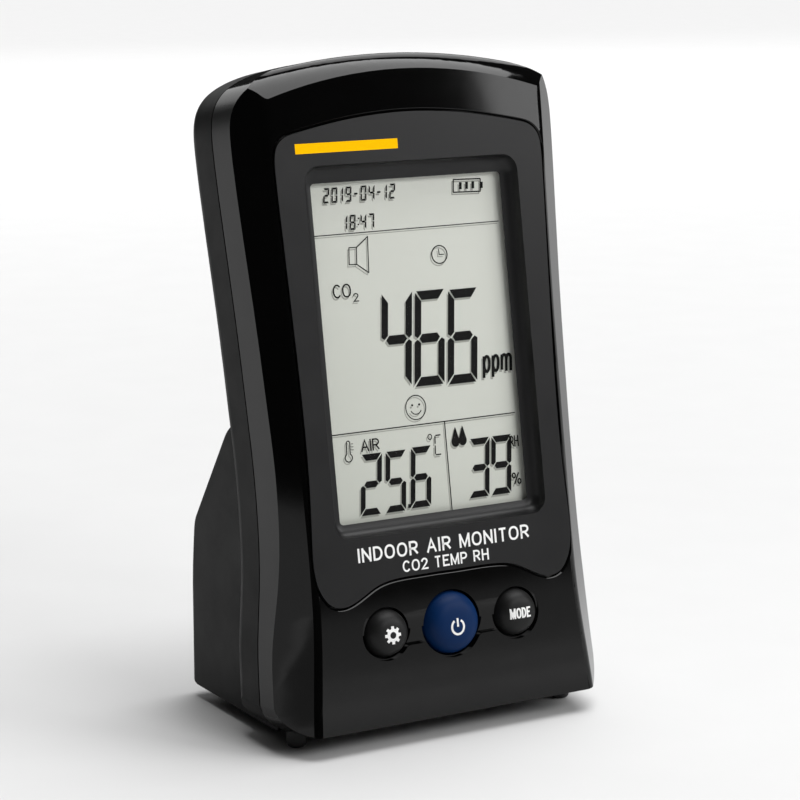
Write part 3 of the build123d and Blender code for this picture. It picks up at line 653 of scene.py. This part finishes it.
# ------------------------------------------------------------------ panel print
fit_text("panel_line_one", "INDOOR AIR MONITOR", -23.6, 23.4, 38.0, 41.3, 0.02, 0.04, MAT["white_print"], "housing", weight=0.155, gap=0.30)
fit_text("panel_line_two", "CO2 TEMP RH", -12.0, 11.6, 34.3, 37.0, 0.02, 0.04, MAT["white_print"], "housing", weight=0.155, gap=0.30)
plates("panel_accent", [[(-30.5, 132.3), (-3.5, 132.3), (-3.5, 134.6), (-30.5, 134.6)]], 0.02, 0.04, MAT["amber_print"], "housing")

# ------------------------------------------------------------------ key symbols
KEY_V, KEY_TOP = 21.0, -2.8
CROWN = [(0, 0.0), (0.3, 0.07), (0.52, 0.29), (0.68, 0.70), (0.79, 1.25), (0.88, 2.05), (0.95, 3.1), (1.0, 4.3)]


def on_crown(node):
    """depth of the key's dome below its top at a point of the face"""
    key = NODES[node]
    world = key.matrix_world.copy()
    inv = world.inverted()
    axis = (F(0, 0, 1) - F(0, 0, 0)).normalized()

    def f(u, v):
        p = F(u, v, -12.0)
        hit, where, _, _ = key.ray_cast(inv @ p, (inv.to_3x3() @ (F(u, v, 12.0) - p)).normalized())
        if hit:
            return ((world @ where) - F(u, v, KEY_TOP)).dot(axis) / MM
        return CROWN[-1][1]
    return f


def gear(cx, cy, r_out, r_in, r_hole, teeth=8):
    outer = []
    for i in range(teeth):
        a = 2 * pi * i / teeth + pi / 2
        for da, r in ((-0.24, r_in), (-0.17, r_out), (0.17, r_out), (0.24, r_in)):
            outer.append((cx + r * cos(a + da), cy + r * sin(a + da)))
    n = len(outer)
    inner = []
    for u, v in outer:
        a = atan2(v - cy, u - cx)
        inner.append((cx + r_hole * cos(a), cy + r_hole * sin(a)))
    return outer, inner


o_, i_ = gear(-17.7, KEY_V - 0.35, 2.12, 1.55, 0.80)
bm = bmesh.new()
rings("gear", o_, i_, KEY_TOP - 0.06, 0.14, bm, on_crown("settings_button"))
bmesh.ops.recalc_face_normals(bm, faces=bm.faces)
me = bpy.data.meshes.new("gear_symbol")
bm.to_mesh(me)
bm.free()
link(me, "gear_symbol", MAT["white_print"], "settings_key")
pw = [stroke(arc(-0.2, KEY_V - 0.9, 1.62, 1.72, 122, 418, 40), 0.5)] + \
    [stroke([(-0.2, KEY_V - 0.85 + 0.4 * i), (-0.2, KEY_V - 0.45 + 0.4 * i)], 0.5) for i in range(5)]
plates("power_symbol", pw, KEY_TOP - 0.06, 0.14, MAT["white_print"], "power_key", dome=on_crown("power_button"))
fit_text("mode_symbol", "MODE", 17.35 - 2.75, 17.35 + 2.75, KEY_V - 1.35, KEY_V + 1.15, KEY_TOP - 0.06, 0.14, MAT["white_print"], "mode_key",
         weight=0.17, gap=0.34, dome=on_crown("mode_button"))

# ------------------------------------------------------------------ stage, camera, light
def floor():
    me = bpy.data.meshes.new("floor")
    s = 9.0
    me.from_pydata([(-s, -s, 0), (s, -s, 0), (s, s, 0), (-s, s, 0)], [], [(0, 1, 2, 3)])
    o = bpy.data.objects.new("floor", me)
    scene.collection.objects.link(o)
    m, nt, b = new_mat("floor_paper")
    n = noise(nt, 40.0)
    tc = nt.nodes.new("ShaderNodeTexCoord")
    ln = nt.nodes.new("ShaderNodeVectorMath")
    ln.operation = "LENGTH"
    nt.links.new(tc.outputs["Object"], ln.inputs[0])
    # painted shade: the floor colour is darker near the object, countering the brighter light the lamps throw there
    far = maprange(nt, ln.outputs["Value"], 0.25, 2.3, 0.0, 1.0)
    painted_shade_near_object = ramp(nt, far, 0.0, 1.0, (0.66, 0.66, 0.66), (0.885, 0.885, 0.885))
    mix = nt.nodes.new("ShaderNodeMix")
    mix.data_type = "RGBA"
    mix.blend_type = "MULTIPLY"
    mix.inputs["Factor"].default_value = 1.0
    nt.links.new(painted_shade_near_object, mix.inputs[6])
    nt.links.new(ramp(nt, n.outputs["Fac"], 0.3, 0.7, (0.985, 0.985, 0.985), (1.0, 1.0, 1.0)), mix.inputs[7])
    nt.links.new(mix.outputs[2], b.inputs["Base Color"])
    b.inputs["Roughness"].default_value = 0.9
    b.inputs["Specular IOR Level"].default_value = 0.1
    me.materials.append(m)


floor()
world = bpy.data.worlds.new("studio")
scene.world = world
world.use_nodes = True
bg = world.node_tree.nodes["Background"]
bg.inputs["Color"].default_value = (1, 1, 1, 1)
bg.inputs["Strength"].default_value = 0.02

cam = bpy.data.cameras.new("camera")
cam.sensor_width = 36.0
cam.lens = 119.64
camera = bpy.data.objects.new("camera", cam)
scene.collection.objects.link(camera)
camera.location = Vector((-316.45, FY - 507.08, FZ + 194.41)) * MM      # seen from the left and a little above
fwd = Vector((0.4993, 0.8437, -0.1969))
camera.rotation_euler = fwd.to_track_quat("-Z", "Y").to_euler()
cam.clip_start = 0.01
scene.camera = camera


def area(name, loc, target, size, power, size_y=None):
    l = bpy.data.lights.new(name, "AREA")
    l.shape = "RECTANGLE"
    l.size = size
    l.size_y = size_y or size
    l.energy = power
    o = bpy.data.objects.new(name, l)
    scene.collection.objects.link(o)
    o.location = loc
    d = Vector(target) - Vector(loc)
    o.rotation_euler = d.to_track_quat("-Z", "Y").to_euler()
    return o


mid = (0, 0, 0.08)
sun = bpy.data.lights.new("overhead_light", "SUN")
sun.energy = 3.4
sun.angle = radians(55)
so = bpy.data.objects.new("overhead_light", sun)
scene.collection.objects.link(so)
so.rotation_euler = Vector((0.30, 0.02, 1.0)).to_track_quat("Z", "Y").to_euler()
area("right_softbox", (0.900, FY * MM - 0.788, 0.62), mid, 0.65, 7.0, 0.58)
area("low_strip", (1.50, -2.60, 0.045), (0, 0, 0.045), 2.4, 0.62, 0.12)
area("left_strip", (-1.41, -0.55, 0.10), mid, 0.30, 0.20, 0.50)
area("front_fill", (0.32, -1.33, 0.98), mid, 0.5, 6.0)
area("back_softbox", (0.3, 1.7, 1.15), mid, 2.6, 10.0, 1.2)
scene.view_settings.view_transform = "Standard"
